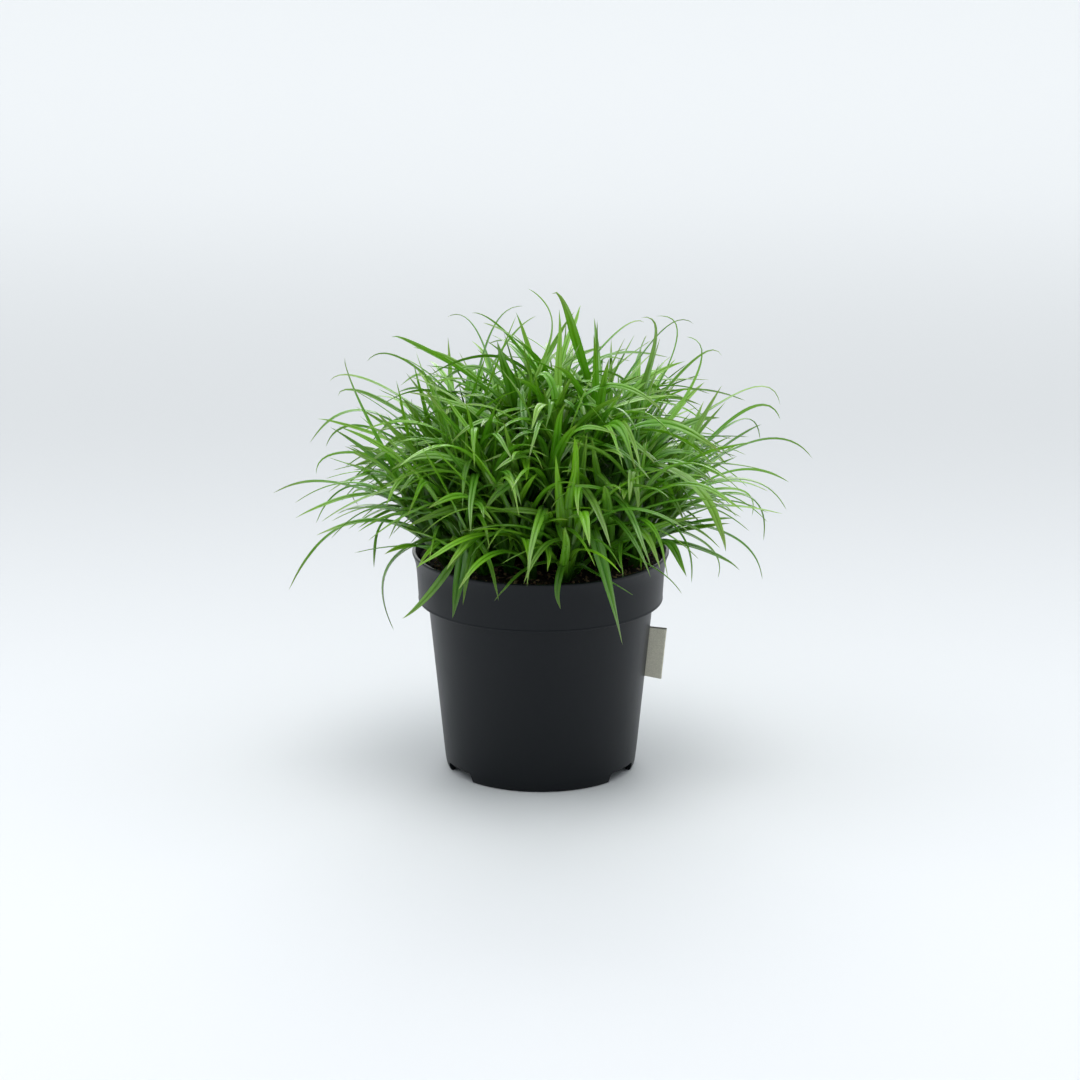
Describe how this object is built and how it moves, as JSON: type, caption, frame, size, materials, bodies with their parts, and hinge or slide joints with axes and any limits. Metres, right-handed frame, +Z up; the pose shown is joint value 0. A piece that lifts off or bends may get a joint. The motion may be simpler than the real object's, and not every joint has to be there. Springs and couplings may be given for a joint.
{
  "type": "potted umbrella sedge",
  "caption": "Dense dome of narrow, pointed green leaf blades growing from short stems in a round plastic nursery pot.",
  "frame": {"origin": "on the ground under the middle of the plant's box, which is the middle of the pot to within a millimetre or so", "axes": "+Z up, front towards -Y, and +X to the viewer's right, where the side label stands out of the pot"},
  "size_m": [0.25, 0.238, 0.2273],
  "materials": {
    "pot_plastic": "satin, near-black grey moulded plastic",
    "potting_soil": "matt, coarse brown potting soil with bark and fibre",
    "label_cloth": "matt woven tape",
    "leaf": "satin green leaf with a paler midrib groove and yellow-green base"
  },
  "bodies": {
    "root": {"pot": "pot_plastic", "label_tab": "label_cloth", "soil": "potting_soil", "shoot_01": "leaf", "shoot_02": "leaf", "shoot_03": "leaf", "shoot_04": "leaf", "shoot_05": "leaf", "shoot_06": "leaf", "shoot_07": "leaf", "shoot_08": "leaf", "shoot_09": "leaf", "shoot_10": "leaf", "shoot_11": "leaf", "shoot_12": "leaf", "shoot_13": "leaf", "shoot_14": "leaf", "shoot_15": "leaf", "shoot_16": "leaf", "shoot_17": "leaf", "shoot_18": "leaf", "shoot_19": "leaf", "shoot_20": "leaf", "shoot_21": "leaf", "shoot_22": "leaf", "shoot_23": "leaf", "shoot_24": "leaf", "shoot_25": "leaf", "shoot_26": "leaf", "shoot_27": "leaf", "shoot_28": "leaf", "shoot_29": "leaf", "shoot_30": "leaf", "shoot_31": "leaf", "shoot_32": "leaf", "shoot_33": "leaf", "shoot_34": "leaf", "shoot_35": "leaf", "shoot_36": "leaf", "shoot_37": "leaf", "shoot_38": "leaf", "shoot_39": "leaf", "shoot_40": "leaf"}
  },
  "joints": []
}
